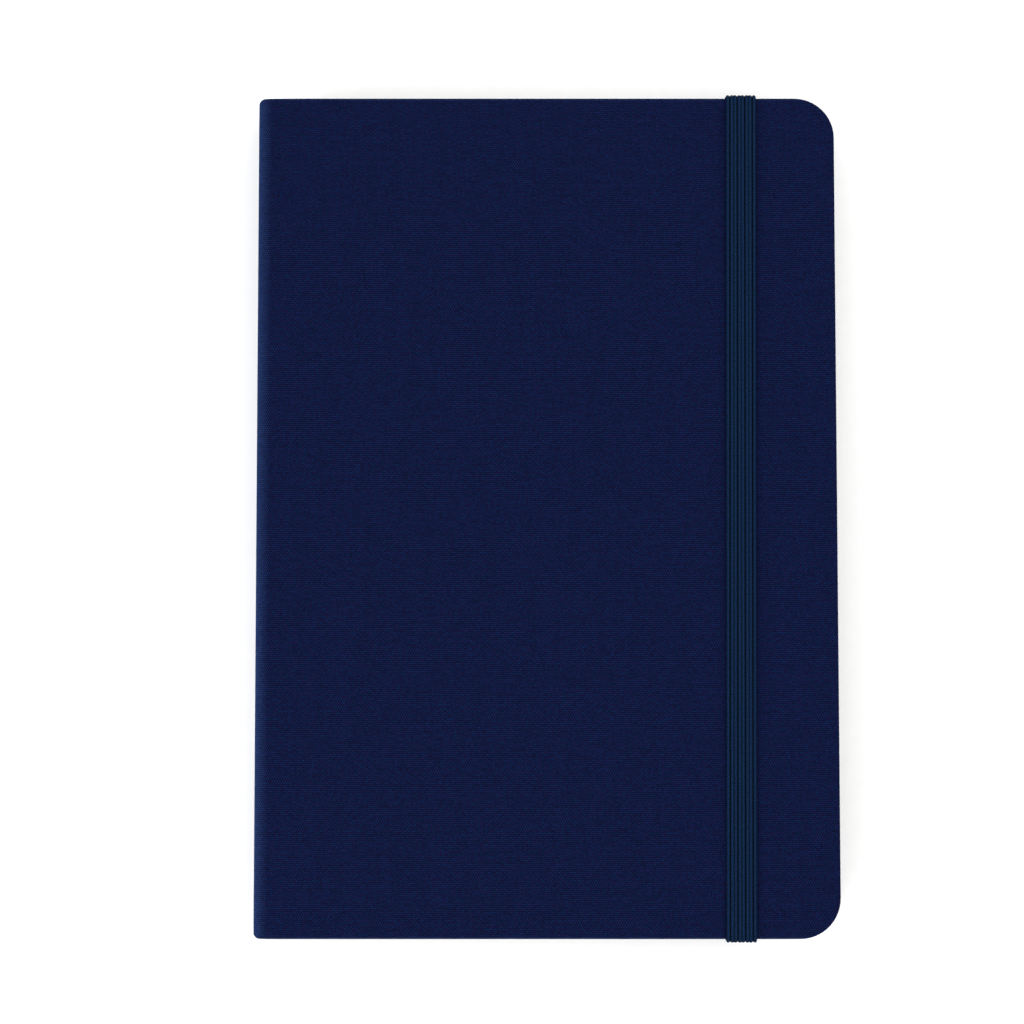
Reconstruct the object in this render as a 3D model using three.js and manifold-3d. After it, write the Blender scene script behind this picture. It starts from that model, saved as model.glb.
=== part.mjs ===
// A cloth-bound pilot's logbook, A5, held shut by an elastic band, with sewn sections inside.
// Units are millimetres. X runs from the spine to the fore edge, Y from tail to head and Z upwards.
// The closed book lies on its back cover, with the origin below its centre on the surface it lies on.

import * as THREE from 'three';
import { mergeVertices } from 'three/addons/utils/BufferGeometryUtils.js';
import Module from 'manifold-3d';

const wasm = await Module();
wasm.setup();

// The closed book over its cloth.
const BOOK_WIDTH = 145;
const BOOK_HEIGHT = 210;
const CORNER_RADIUS = 10;

// The case: boards, cloth and what lines them.
const BOARD_THICKNESS = 2;
const SPINE_BOARD_THICKNESS = 1.2;
const CLOTH_THICKNESS = 0.35;
const EDGE_ROUNDING = 0.4;
const TURN_IN_WIDTH = 15;
const TURN_IN_CORNER = 1;
const JOINT_WIDTH = 4.5;
const JOINT_RADIUS = 1.5;
const ENDPAPER_THICKNESS = 0.15;

// The text block.
const SECTION_COUNT = 12;
const SECTION_THICKNESS = 0.85;
const SQUARE = 3;
const LEAF_CORNER_RADIUS = 8;
const THREAD_DIAMETER = 0.36;
const KETTLE_INSET = 7;

// What holds the block's back.
const SPINE_HOLLOW = 0.3;
const LINING_THICKNESS = 0.2;
const MULL_THICKNESS = 0.2;
const MULL_FROM_TURN_IN = 3;
const MULL_FLANGE_WIDTH = 18;
const HEADBAND_DIAMETER = 1.8;
const HEADBAND_TAB_LENGTH = 9;
const HEADBAND_TAB_THICKNESS = 0.28;

// The elastic band.
const ELASTIC_WIDTH = 7.5;
const ELASTIC_THICKNESS = 0.9;
const ELASTIC_INSET = 24;
const ELASTIC_END_LENGTH = 17;
const ELASTIC_END_THICKNESS = 0.75;

// Clearances between pieces that are glued, folded or laid together.
const GLUE_GAP = 0.05;
const POCKET_GAP = 0.1;
const THREAD_GAP = 0.07;
const SPINE_BOARD_PAST_AXIS = 0.1;

// How many straight steps make a quarter circle.
const ARC_STEPS = 12;
const SMALL_ARC_STEPS = 6;

// Heights in the pile, counted up from the outer face of the back cover. Both covers are alike, so the
// front cover's heights are the same insets counted down from the book's full thickness.
const BOARD_INSET = CLOTH_THICKNESS + GLUE_GAP;
const TURN_IN_INSET = BOARD_INSET + BOARD_THICKNESS + GLUE_GAP;
const COVER_THICKNESS = TURN_IN_INSET + CLOTH_THICKNESS;
const PASTEDOWN_INSET = COVER_THICKNESS + GLUE_GAP;
const FLYLEAF_INSET = PASTEDOWN_INSET + ENDPAPER_THICKNESS + GLUE_GAP;
const BLOCK_INSET = FLYLEAF_INSET + ENDPAPER_THICKNESS + GLUE_GAP;
const SECTION_PITCH = SECTION_THICKNESS + GLUE_GAP;
const BLOCK_THICKNESS = SECTION_COUNT * SECTION_PITCH - GLUE_GAP;
const BOOK_THICKNESS = 2 * BLOCK_INSET + BLOCK_THICKNESS;

// Places across the book, from the spine face inwards.
const SPINE_FACE = -BOOK_WIDTH / 2;
const FORE_EDGE = BOOK_WIDTH / 2;
const HEAD_EDGE = BOOK_HEIGHT / 2;
const JOINT_AXIS_X = SPINE_FACE + JOINT_RADIUS;
const SPINE_BOARD_X = SPINE_FACE + BOARD_INSET;
const SPINE_TURN_IN_X = SPINE_BOARD_X + SPINE_BOARD_THICKNESS + GLUE_GAP;
const LINING_X = SPINE_BOARD_X + SPINE_BOARD_THICKNESS + SPINE_HOLLOW;
const MULL_X = LINING_X + LINING_THICKNESS + GLUE_GAP;
const FOLD_X = MULL_X + MULL_THICKNESS + 2 * GLUE_GAP;
const BOARD_X = SPINE_FACE + JOINT_WIDTH;
const LEAF_FORE_X = FORE_EDGE - SQUARE;
const LEAF_HEAD = HEAD_EDGE - SQUARE;
const THREAD_LENGTH = 2 * (LEAF_HEAD - KETTLE_INSET);
const MULL_LENGTH = 2 * (HEAD_EDGE - TURN_IN_WIDTH - MULL_FROM_TURN_IN);
const ELASTIC_X = FORE_EDGE - ELASTIC_INSET;

// Materials. Every node gets its own copy.
const FINISHES = {
  bookCloth: { color: 0x11193c, roughness: 0.85, metalness: 0 },
  greyboard: { color: 0x8d8a82, roughness: 0.95, metalness: 0 },
  writingPaper: { color: 0xf1ecdc, roughness: 0.9, metalness: 0 },
  endpaper: { color: 0xeee8d8, roughness: 0.9, metalness: 0 },
  mull: { color: 0xd9d2bf, roughness: 0.95, metalness: 0 },
  kraftPaper: { color: 0xb08d62, roughness: 0.9, metalness: 0 },
  linenThread: { color: 0xe6e0d0, roughness: 0.8, metalness: 0 },
  headbandCotton: { color: 0x1d2a52, roughness: 0.8, metalness: 0 },
  wovenElastic: { color: 0x0f2039, roughness: 0.75, metalness: 0 },
};

const book = new THREE.Group();

function addPiece(name, geometry, finish) {
  const piece = new THREE.Mesh(geometry, new THREE.MeshStandardMaterial(FINISHES[finish]));
  piece.name = name;
  book.add(piece);
}

// A closed geometry as a solid that can be joined and cut.
function solidFrom(geometry) {
  const bare = geometry.clone();
  bare.deleteAttribute('normal');
  bare.deleteAttribute('uv');
  const merged = mergeVertices(bare);
  return new wasm.Manifold(new wasm.Mesh({
    numProp: 3,
    vertProperties: merged.getAttribute('position').array,
    triVerts: new Uint32Array(merged.getIndex().array),
  }));
}

function geometryFrom(solid) {
  const { vertProperties, triVerts } = solid.getMesh();
  const shared = new THREE.BufferGeometry();
  shared.setAttribute('position', new THREE.BufferAttribute(vertProperties, 3));
  shared.setIndex(new THREE.BufferAttribute(triVerts, 1));
  const geometry = shared.toNonIndexed();
  geometry.computeVertexNormals();
  return geometry;
}

// A geometry with others cut out of it.
function cut(geometry, tools) {
  const solid = tools.reduce((left, tool) => left.subtract(solidFrom(tool)), solidFrom(geometry));
  return geometryFrom(solid);
}

// A box between two opposite corners.
function block([x0, y0, z0], [x1, y1, z1]) {
  const geometry = new THREE.BoxGeometry(x1 - x0, y1 - y0, z1 - z0);
  geometry.translate((x0 + x1) / 2, (y0 + y1) / 2, (z0 + z1) / 2);
  return geometry;
}

// The outline of a cover or a leaf from above: square at the spine, round at both fore-edge corners.
function leafOutline(spineX, foreX, head, cornerRadius) {
  const outline = new THREE.Shape();
  outline.moveTo(spineX, -head);
  outline.lineTo(foreX - cornerRadius, -head);
  outline.absarc(foreX - cornerRadius, cornerRadius - head, cornerRadius, -Math.PI / 2, 0);
  outline.absarc(foreX - cornerRadius, head - cornerRadius, cornerRadius, 0, Math.PI / 2);
  outline.lineTo(spineX, head);
  return outline;
}

// An outline as a flat sheet between two heights, given in either order.
function sheet(outline, heightA, heightB) {
  const geometry = new THREE.ExtrudeGeometry(outline, {
    depth: Math.abs(heightB - heightA),
    bevelEnabled: false,
    curveSegments: ARC_STEPS,
  });
  geometry.translate(0, 0, Math.min(heightA, heightB));
  return geometry;
}

// The same with its upper and lower edges rounded.
function roundedSheet(outline, heightA, heightB, rounding) {
  const geometry = new THREE.ExtrudeGeometry(outline, {
    depth: Math.abs(heightB - heightA) - 2 * rounding,
    bevelThickness: rounding,
    bevelSize: rounding,
    bevelOffset: -rounding,
    bevelSegments: 3,
    curveSegments: ARC_STEPS,
  });
  geometry.translate(0, 0, Math.min(heightA, heightB) + rounding);
  return geometry;
}

// A section drawn in X and Z, run along Y from -halfLength to halfLength.
function runAlongY(section, halfLength) {
  const geometry = new THREE.ExtrudeGeometry(section, {
    depth: 2 * halfLength,
    bevelEnabled: false,
    curveSegments: SMALL_ARC_STEPS,
  });
  geometry.rotateX(Math.PI / 2);
  geometry.translate(0, halfLength, 0);
  return geometry;
}

// The height of an inset into a cover: up from the back cover's face, or down from the front cover's.
function heightIn(cover, inset) {
  return cover === 'back' ? inset : BOOK_THICKNESS - inset;
}

function twoDigits(number) {
  return String(number).padStart(2, '0');
}

// The shallow pocket at one end of the back board where an end of the elastic is glued down.
function elasticPocket(end) {
  const reach = ELASTIC_WIDTH / 2 + POCKET_GAP;
  const inner = end * (HEAD_EDGE - ELASTIC_END_LENGTH - POCKET_GAP);
  const outer = end * (HEAD_EDGE + EDGE_ROUNDING);
  const floor = COVER_THICKNESS - ELASTIC_END_THICKNESS - GLUE_GAP;
  return block(
    [ELASTIC_X - reach, Math.min(inner, outer), floor],
    [ELASTIC_X + reach, Math.max(inner, outer), COVER_THICKNESS + EDGE_ROUNDING],
  );
}

const ELASTIC_POCKETS = { back: [elasticPocket(-1), elasticPocket(1)], front: [] };

function addBoard(cover) {
  const outline = leafOutline(
    BOARD_X,
    FORE_EDGE - BOARD_INSET,
    HEAD_EDGE - BOARD_INSET,
    CORNER_RADIUS - BOARD_INSET,
  );
  const board = sheet(
    outline,
    heightIn(cover, BOARD_INSET),
    heightIn(cover, BOARD_INSET + BOARD_THICKNESS),
  );
  addPiece(`${cover}_board`, cut(board, ELASTIC_POCKETS[cover]), 'greyboard');
}

// The cloth over one board: its outer face, the three edges it is folded round and its turn-ins.
function addCoverCloth(cover) {
  const pastSpineEdge = BOARD_X - 2 * EDGE_ROUNDING;
  const whole = roundedSheet(
    leafOutline(pastSpineEdge, FORE_EDGE, HEAD_EDGE, CORNER_RADIUS),
    heightIn(cover, 0),
    heightIn(cover, COVER_THICKNESS),
    EDGE_ROUNDING,
  );
  const trim = block(
    [pastSpineEdge - 1, -BOOK_HEIGHT, -1],
    [BOARD_X, BOOK_HEIGHT, BOOK_THICKNESS + 1],
  );
  const boardRoom = sheet(
    leafOutline(
      pastSpineEdge,
      FORE_EDGE - CLOTH_THICKNESS,
      HEAD_EDGE - CLOTH_THICKNESS,
      CORNER_RADIUS - CLOTH_THICKNESS,
    ),
    heightIn(cover, CLOTH_THICKNESS),
    heightIn(cover, TURN_IN_INSET),
  );
  const turnInOpening = sheet(
    leafOutline(pastSpineEdge, FORE_EDGE - TURN_IN_WIDTH, HEAD_EDGE - TURN_IN_WIDTH, TURN_IN_CORNER),
    heightIn(cover, TURN_IN_INSET - GLUE_GAP),
    heightIn(cover, COVER_THICKNESS + 1),
  );
  const cloth = cut(whole, [trim, boardRoom, turnInOpening, ...ELASTIC_POCKETS[cover]]);
  addPiece(`${cover}_cloth`, cloth, 'bookCloth');
}

// The endpaper's two halves: one pasted to the cover, one free against the text block.
function addEndpaper(cover) {
  const outline = leafOutline(FOLD_X, LEAF_FORE_X, LEAF_HEAD, LEAF_CORNER_RADIUS);
  const halves = { pastedown: PASTEDOWN_INSET, flyleaf: FLYLEAF_INSET };
  for (const [half, inset] of Object.entries(halves)) {
    const leaf = sheet(outline, heightIn(cover, inset), heightIn(cover, inset + ENDPAPER_THICKNESS));
    addPiece(`${cover}_${half}`, leaf, 'endpaper');
  }
}

// The flap of mull that is glued to a board under its pastedown.
function addMullFlange(cover) {
  const heights = [
    heightIn(cover, TURN_IN_INSET),
    heightIn(cover, TURN_IN_INSET + MULL_THICKNESS),
  ];
  const flange = block(
    [BOARD_X, -MULL_LENGTH / 2, Math.min(...heights)],
    [BOARD_X + MULL_FLANGE_WIDTH, MULL_LENGTH / 2, Math.max(...heights)],
  );
  addPiece(`mull_${cover}_flange`, flange, 'mull');
}

// The strip of cloth from a cover board's edge, round the joint, to the spine face.
function addJointCloth(cover) {
  const axisHeight = heightIn(cover, JOINT_RADIUS);
  const outwards = cover === 'back' ? -1 : 1;
  const inner = JOINT_RADIUS - CLOTH_THICKNESS;
  const endX = BOARD_X - GLUE_GAP;
  const faceAngle = outwards * Math.PI / 2;
  const clockwise = cover === 'back';
  const section = new THREE.Shape();
  section.moveTo(endX, axisHeight + outwards * inner);
  section.lineTo(endX, axisHeight + outwards * JOINT_RADIUS);
  section.absarc(JOINT_AXIS_X, axisHeight, JOINT_RADIUS, faceAngle, Math.PI * outwards, clockwise);
  section.absarc(JOINT_AXIS_X, axisHeight, inner, Math.PI * outwards, faceAngle, !clockwise);
  addPiece(`${cover}_joint_cloth`, runAlongY(section, HEAD_EDGE), 'bookCloth');
}

// The spine's cloth: its outer face and the ends turned in over the spine board at head and tail.
function addSpineCloth() {
  const innerX = SPINE_TURN_IN_X + CLOTH_THICKNESS;
  const low = JOINT_RADIUS + GLUE_GAP;
  const high = BOOK_THICKNESS - low;
  const whole = block([SPINE_FACE, -HEAD_EDGE, low], [innerX, HEAD_EDGE, high]);
  const roomHead = HEAD_EDGE - CLOTH_THICKNESS;
  const openHead = HEAD_EDGE - TURN_IN_WIDTH;
  const boardRoom = block(
    [SPINE_FACE + CLOTH_THICKNESS, -roomHead, -1],
    [SPINE_TURN_IN_X, roomHead, high + 1],
  );
  const opening = block([SPINE_BOARD_X, -openHead, -1], [innerX + 1, openHead, high + 1]);
  addPiece('spine_cloth', cut(whole, [boardRoom, opening]), 'bookCloth');
}

function addSpineBoard() {
  const low = JOINT_RADIUS - SPINE_BOARD_PAST_AXIS;
  const head = HEAD_EDGE - BOARD_INSET;
  const board = block(
    [SPINE_BOARD_X, -head, low],
    [SPINE_BOARD_X + SPINE_BOARD_THICKNESS, head, BOOK_THICKNESS - low],
  );
  addPiece('spine_board', board, 'greyboard');
}

// A strip as high as the text block, glued along its back.
function spineStrip(x, thickness) {
  return block(
    [x, -MULL_LENGTH / 2, BLOCK_INSET],
    [x + thickness, MULL_LENGTH / 2, BLOCK_INSET + BLOCK_THICKNESS],
  );
}

// One band of head or tail: a corded bead on the leaves' edge and the tab that is glued to their back.
function addHeadband(name, end) {
  const radius = HEADBAND_DIAMETER / 2;
  const beadX = FOLD_X + radius - HEADBAND_TAB_THICKNESS;
  const beadY = end * (LEAF_HEAD + radius + GLUE_GAP);
  const bead = new THREE.CylinderGeometry(radius, radius, BLOCK_THICKNESS, 4 * SMALL_ARC_STEPS);
  bead.rotateX(Math.PI / 2);
  bead.translate(beadX, beadY, BLOCK_INSET + BLOCK_THICKNESS / 2);
  const tabEnd = end * (LEAF_HEAD - HEADBAND_TAB_LENGTH);
  const tabX = FOLD_X - GLUE_GAP - HEADBAND_TAB_THICKNESS;
  const tab = block(
    [tabX, Math.min(tabEnd, beadY), BLOCK_INSET],
    [tabX + HEADBAND_TAB_THICKNESS, Math.max(tabEnd, beadY), BLOCK_INSET + BLOCK_THICKNESS],
  );
  addPiece(name, geometryFrom(solidFrom(bead).add(solidFrom(tab))), 'headbandCotton');
}

// One folded section of leaves, with the groove in its fold where the sewing thread lies, and that thread.
// Sections are numbered from the front cover.
function addSection(number) {
  const low = BLOCK_INSET + (SECTION_COUNT - number) * SECTION_PITCH;
  const middle = low + SECTION_THICKNESS / 2;
  const groove = THREAD_DIAMETER + 2 * THREAD_GAP;
  const leaves = sheet(
    leafOutline(FOLD_X, LEAF_FORE_X, LEAF_HEAD, LEAF_CORNER_RADIUS),
    low,
    low + SECTION_THICKNESS,
  );
  const grooveTool = block(
    [FOLD_X - 1, -THREAD_LENGTH / 2 - THREAD_GAP, middle - groove / 2],
    [FOLD_X + groove, THREAD_LENGTH / 2 + THREAD_GAP, middle + groove / 2],
  );
  addPiece(`section_${twoDigits(number)}`, cut(leaves, [grooveTool]), 'writingPaper');
  const thread = new THREE.CylinderGeometry(THREAD_DIAMETER / 2, THREAD_DIAMETER / 2, THREAD_LENGTH, 8);
  thread.translate(FOLD_X + groove / 2, 0, middle);
  addPiece(`thread_${twoDigits(number)}`, thread, 'linenThread');
}

// The band's long run over the front cover.
function addElasticRun() {
  const end = HEAD_EDGE + GLUE_GAP + ELASTIC_THICKNESS;
  const low = BOOK_THICKNESS + GLUE_GAP;
  const run = block(
    [ELASTIC_X - ELASTIC_WIDTH / 2, -end, low],
    [ELASTIC_X + ELASTIC_WIDTH / 2, end, low + ELASTIC_THICKNESS],
  );
  addPiece('elastic_front_run', run, 'wovenElastic');
}

// Where the band goes down past the edges of both covers, and the end that is glued into the back board.
function addElasticEnd(name, end) {
  const inner = HEAD_EDGE + GLUE_GAP;
  const outer = inner + ELASTIC_THICKNESS;
  const strip = (lowY, highY, low, high) => block(
    [ELASTIC_X - ELASTIC_WIDTH / 2, end > 0 ? lowY : -highY, low],
    [ELASTIC_X + ELASTIC_WIDTH / 2, end > 0 ? highY : -lowY, high],
  );
  const wrap = strip(inner, outer, COVER_THICKNESS + GLUE_GAP, BOOK_THICKNESS);
  addPiece(`elastic_${name}_wrap`, wrap, 'wovenElastic');
  const gluedEnd = strip(
    HEAD_EDGE - ELASTIC_END_LENGTH,
    outer,
    COVER_THICKNESS - ELASTIC_END_THICKNESS,
    COVER_THICKNESS,
  );
  addPiece(`elastic_${name}_end`, gluedEnd, 'wovenElastic');
}

for (const cover of ['back', 'front']) {
  addBoard(cover);
  addCoverCloth(cover);
  addJointCloth(cover);
  addMullFlange(cover);
  addEndpaper(cover);
}
addSpineBoard();
addSpineCloth();
addPiece('spine_lining', spineStrip(LINING_X, LINING_THICKNESS), 'kraftPaper');
addPiece('spine_mull', spineStrip(MULL_X, MULL_THICKNESS), 'mull');
addHeadband('headband', 1);
addHeadband('tailband', -1);
for (let number = 1; number <= SECTION_COUNT; number += 1) {
  addSection(number);
}
addElasticRun();
addElasticEnd('head', 1);
addElasticEnd('tail', -1);

export default book;
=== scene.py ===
# %% [markdown]
# # A cloth-bound pilot's logbook
# The book is closed and lies on its back cover. Its case is three greyboards wrapped in navy linen cloth,
# with sewn sections of paper inside and a ribbed elastic band round the front cover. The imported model
# already holds every part at its real size, so each visible piece below takes its place from it.

# %% Load the frame
import math
import random

import bmesh
import bpy
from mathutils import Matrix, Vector


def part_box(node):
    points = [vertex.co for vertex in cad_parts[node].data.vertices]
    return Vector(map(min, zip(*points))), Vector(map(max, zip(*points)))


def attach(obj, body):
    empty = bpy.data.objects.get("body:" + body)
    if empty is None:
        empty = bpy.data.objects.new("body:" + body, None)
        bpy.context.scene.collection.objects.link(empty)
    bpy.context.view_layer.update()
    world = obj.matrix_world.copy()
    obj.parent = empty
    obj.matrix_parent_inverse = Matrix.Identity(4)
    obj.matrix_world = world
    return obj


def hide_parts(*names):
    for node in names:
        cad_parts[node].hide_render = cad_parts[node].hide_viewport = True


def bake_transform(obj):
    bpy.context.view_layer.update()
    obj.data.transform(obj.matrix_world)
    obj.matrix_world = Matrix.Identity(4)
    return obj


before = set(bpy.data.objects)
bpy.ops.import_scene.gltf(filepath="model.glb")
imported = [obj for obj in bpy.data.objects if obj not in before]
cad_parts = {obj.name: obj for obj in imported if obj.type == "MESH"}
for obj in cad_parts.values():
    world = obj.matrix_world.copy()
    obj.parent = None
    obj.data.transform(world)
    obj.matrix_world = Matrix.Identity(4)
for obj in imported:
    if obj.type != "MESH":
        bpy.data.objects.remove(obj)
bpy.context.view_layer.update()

MM = 0.001

# %% [markdown]
# ## Sizes
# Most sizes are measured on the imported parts: the covers give the outline, the boards and the text block
# give the layers. What those parts don't say, such as how soft an edge is, gets a size of its own here.

# %% Sizes of the case and the text block
SECTION_COUNT = 12
front_low, front_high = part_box("front_cloth")
board_low, board_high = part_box("front_board")
spine_low, spine_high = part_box("spine_cloth")
last_low, last_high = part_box(f"section_{SECTION_COUNT}")
GLUE_GAP = 0.05 * MM
BOOK_TOP = front_high.z
FORE_EDGE = front_high.x
HEAD_EDGE = front_high.y
BOARD_EDGE_X = board_low.x
SPINE_FACE = spine_low.x
SPINE_INNER_X = spine_high.x
COVER_THICKNESS = front_high.z - front_low.z
CLOTH = front_high.z - board_high.z - GLUE_GAP
CORNER_RADIUS = 10 * MM
LEAF_CORNER_RADIUS = 8 * MM
TURN_IN = 15 * MM
RIM = 0.4 * MM
print("cover", round(COVER_THICKNESS / MM, 2), "mm, cloth", round(CLOTH / MM, 2), "mm")

# %% [markdown]
# ## The camera
# The book is seen from almost straight above. Its head edge looks a little shorter than its tail edge,
# which is what a camera about four degrees towards the tail sees, so it stands there.

# %% Camera
CAMERA_DISTANCE = 602.5 * MM
CAMERA_LEAN = math.radians(3.9)
CAMERA_OFF_CENTRE = Vector((-8.6 * MM, 0.45 * MM, 0))
camera_data = bpy.data.cameras.new("camera")
camera_data.lens = 85
camera_data.sensor_width = 36
camera = bpy.data.objects.new("camera", camera_data)
bpy.context.collection.objects.link(camera)
camera.location = Vector((0, -math.sin(CAMERA_LEAN), math.cos(CAMERA_LEAN))) * CAMERA_DISTANCE
camera.location += Vector((0, 0, BOOK_TOP)) + CAMERA_OFF_CENTRE
camera.rotation_euler = (CAMERA_LEAN, 0, 0)
bpy.context.scene.camera = camera
print("camera at", [round(v / MM) for v in camera.location], "mm")

# %% [markdown]
# ## Working in edit mode
# Each piece starts as a primitive and is shaped in edit mode. Operators act on whatever is selected, so one
# function starts a piece with nothing selected, and another picks vertices, edges or faces by their place.

# %% Helpers for modelling
NEAR = 0.01 * MM


def start_box(name, low, high):
    """A box between two corners, open in edit mode with nothing selected."""
    bpy.ops.object.select_all(action="DESELECT")
    middle = (Vector(low) + Vector(high)) / 2
    bpy.ops.mesh.primitive_cube_add(size=1, location=middle, scale=Vector(high) - Vector(low))
    piece = bpy.context.object
    piece.name = name
    bpy.ops.object.transform_apply(location=True, rotation=True, scale=True)
    bpy.ops.object.mode_set(mode="EDIT")
    bpy.ops.mesh.select_all(action="DESELECT")
    return piece


def pick(kind, test):
    """Selects the VERT, EDGE or FACE elements of the open piece that pass a test of place."""
    bpy.ops.mesh.select_mode(type=kind)
    bpy.ops.mesh.select_all(action="DESELECT")
    mesh = bmesh.from_edit_mesh(bpy.context.object.data)
    elements = {"VERT": mesh.verts, "EDGE": mesh.edges, "FACE": mesh.faces}[kind]
    chosen = [e for e in elements if test(e)]
    for element in chosen:
        element.select_set(True)
    bmesh.update_edit_mesh(bpy.context.object.data)
    return len(chosen)


def close_piece(piece, smooth_angle=40):
    """Leaves edit mode with faces pointing out and smooth shading between shallow edges."""
    bpy.ops.mesh.select_all(action="SELECT")
    bpy.ops.mesh.normals_make_consistent(inside=False)
    bpy.ops.object.mode_set(mode="OBJECT")
    bpy.ops.object.shade_smooth_by_angle(angle=math.radians(smooth_angle))
    return piece


def apply_modifier(piece, kind, **settings):
    """Adds one modifier with its settings and applies it."""
    modifier = piece.modifiers.new(kind.title(), kind)
    for name, value in settings.items():
        setattr(modifier, name, value)
    bpy.context.view_layer.objects.active = piece
    bpy.ops.object.modifier_apply(modifier=modifier.name)


def flatten_shading(piece):
    """Lets the broad faces keep their own normals, so only the narrow rounded ones shade as curved."""
    apply_modifier(piece, "WEIGHTED_NORMAL", mode="FACE_AREA", weight=100, keep_sharp=True)


def edge_is(edge, axis, place):
    """Whether an edge runs along an axis, with its middle where the test says."""
    a, b = edge.verts[0].co, edge.verts[1].co
    across = [abs(a[i] - b[i]) for i in range(3) if i != axis]
    return max(across) < NEAR and place((a + b) / 2)


print("points count as level within", NEAR / MM, "mm")


# %% [markdown]
# ## Laying a flat map on a piece
# Cloth and paper are flat goods that were folded round the book, so their pattern has to follow the fold. A
# UV map in metres of flat cloth does that: over an edge, the distance down the wall is added on.

# %% Flat maps
MAP_NAME = "flat"


def lay_flat_map(piece, unfold):
    """Writes a UV map from a rule that turns a point and its face into flat metres."""
    layer = piece.data.uv_layers.new(name=MAP_NAME)
    for face in piece.data.polygons:
        for corner in face.loop_indices:
            point = piece.data.vertices[piece.data.loops[corner].vertex_index].co
            layer.data[corner].uv = unfold(point, face)


print("flat maps are named", MAP_NAME)

# %% [markdown]
# ## Nodes
# Materials are built from nodes. One function adds any node, with its settings and with what feeds it. A
# Mix node has several sockets called A, B and Result, so its colour sockets are picked by their number.

# %% Helpers for materials
MIX_A = 6
MIX_B = 7
MIX_RESULT = 2


def linear(hex_colour):
    """An sRGB hex colour as the linear colour that shaders take."""
    parts = [int(hex_colour[i:i + 2], 16) / 255 for i in (1, 3, 5)]
    lit = [p / 12.92 if p <= 0.04045 else ((p + 0.055) / 1.055) ** 2.4 for p in parts]
    return (*lit, 1.0)


def add_node(tree, kind, settings, feeds):
    """Adds a node. A feed is a number, a colour, a socket, or a node whose first output is meant."""
    node = tree.nodes.new("ShaderNode" + kind)
    for name, value in settings.items():
        setattr(node, name, value)
    for socket, value in feeds.items():
        if isinstance(value, bpy.types.Node):
            value = value.outputs[0]
        if isinstance(value, bpy.types.NodeSocket):
            tree.links.new(value, node.inputs[socket])
        else:
            node.inputs[socket].default_value = value
    return node


def start_material(name, roughness, specular):
    """A material with its shader, ready for its pattern."""
    material = bpy.data.materials.new(name)
    material.use_nodes = True
    shader = material.node_tree.nodes["Principled BSDF"]
    shader.inputs["Roughness"].default_value = roughness
    shader.inputs["Specular IOR Level"].default_value = specular
    return material, material.node_tree, shader


print("white is", linear("#FFFFFF"), "to a shader")

# %% [markdown]
# ## Navy linen book cloth
# The cloth is a plain weave of dyed linen. The weft threads, which run across the cover, lie on top, so the
# eye sees fine rows with dark gaps, broken up where each warp thread crosses. Rows come from a sine wave
# down the cloth and crossings from one across it, both led astray a little by noise, as uneven threads are.

# %% Threads
WARP_PITCH = 0.64 * MM
WEFT_PITCH = 0.51 * MM
WARP_SWAY = 1.6
WEFT_SWAY = 1.1
SWAYS_PER_MM = 0.055


def count_threads(tree, flat, along, pitch, sway):
    """Counts threads along one axis of the flat cloth, with a slow sway so they aren't ruler-straight."""
    slow = add_node(tree, "TexNoise", {}, {"Vector": flat, "Scale": SWAYS_PER_MM / MM, "Detail": 3})
    drift = add_node(tree, "Math", {"operation": "MULTIPLY"}, {0: slow.outputs["Fac"], 1: sway})
    return add_node(tree, "Math", {"operation": "MULTIPLY_ADD"}, {0: along, 1: 1 / pitch, 2: drift})


def thread_height(tree, count, shift):
    """Height across each thread: 1 on its crest and 0 in the gap to the next."""
    turn = add_node(tree, "Math", {"operation": "MULTIPLY_ADD"}, {0: count, 1: math.pi, 2: shift})
    wave = add_node(tree, "Math", {"operation": "SINE"}, {0: turn})
    return add_node(tree, "Math", {"operation": "MULTIPLY"}, {0: wave, 1: wave})


def weave_threads(tree, flat, split):
    """The height of the weave, and a chance value for each crossing of a warp and a weft thread."""
    warp = count_threads(tree, flat, split.outputs["X"], WARP_PITCH, WARP_SWAY)
    weft = count_threads(tree, flat, split.outputs["Y"], WEFT_PITCH, WEFT_SWAY)
    warp_number = add_node(tree, "Math", {"operation": "FLOOR"}, {0: warp})
    weft_number = add_node(tree, "Math", {"operation": "FLOOR"}, {0: weft})
    crossing = add_node(tree, "CombineXYZ", {}, {"X": warp_number, "Y": weft_number})
    chance = add_node(tree, "TexWhiteNoise", {"noise_dimensions": "2D"}, {"Vector": crossing})
    odd = add_node(tree, "Math", {"operation": "MULTIPLY"}, {0: weft_number, 1: math.pi / 2})
    rows = thread_height(tree, weft, 0.0)
    knots = thread_height(tree, warp, odd)
    over = add_node(tree, "Math", {"operation": "MULTIPLY_ADD"}, {0: knots, 1: 0.95, 2: 0.2})
    under = add_node(tree, "Math", {"operation": "MULTIPLY_ADD"}, {0: rows, 1: 0.78, 2: 0.22})
    height = add_node(tree, "Math", {"operation": "MULTIPLY"}, {0: over, 1: under})
    return height, chance.outputs["Value"]


print("the cloth has", round(10 * MM / WARP_PITCH), "by", round(10 * MM / WEFT_PITCH), "threads to the cm")

# %% [markdown]
# ## Dye and fibre
# No two crossings took the dye alike: some are bluer, some turn to purple. The threads thicken and thin
# along their length, and fibres lie on them as fine grain. All of it is noise on the flat cloth, drawn out
# along the threads where it belongs to one thread.

# %% Dye and fibre
CLOTH_BLUE = "#0A2450"
CLOTH_PURPLE = "#1B1542"
# Painted shade: the near-black colour of the gaps between threads.
CLOTH_GAP_SHADE = "#04081A"
SLUBS_PER_MM = 0.9
STREAKS_PER_MM = 0.35
GRAINS_PER_MM = 2.6
DYE_SPOTS_PER_MM = 1.7


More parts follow.
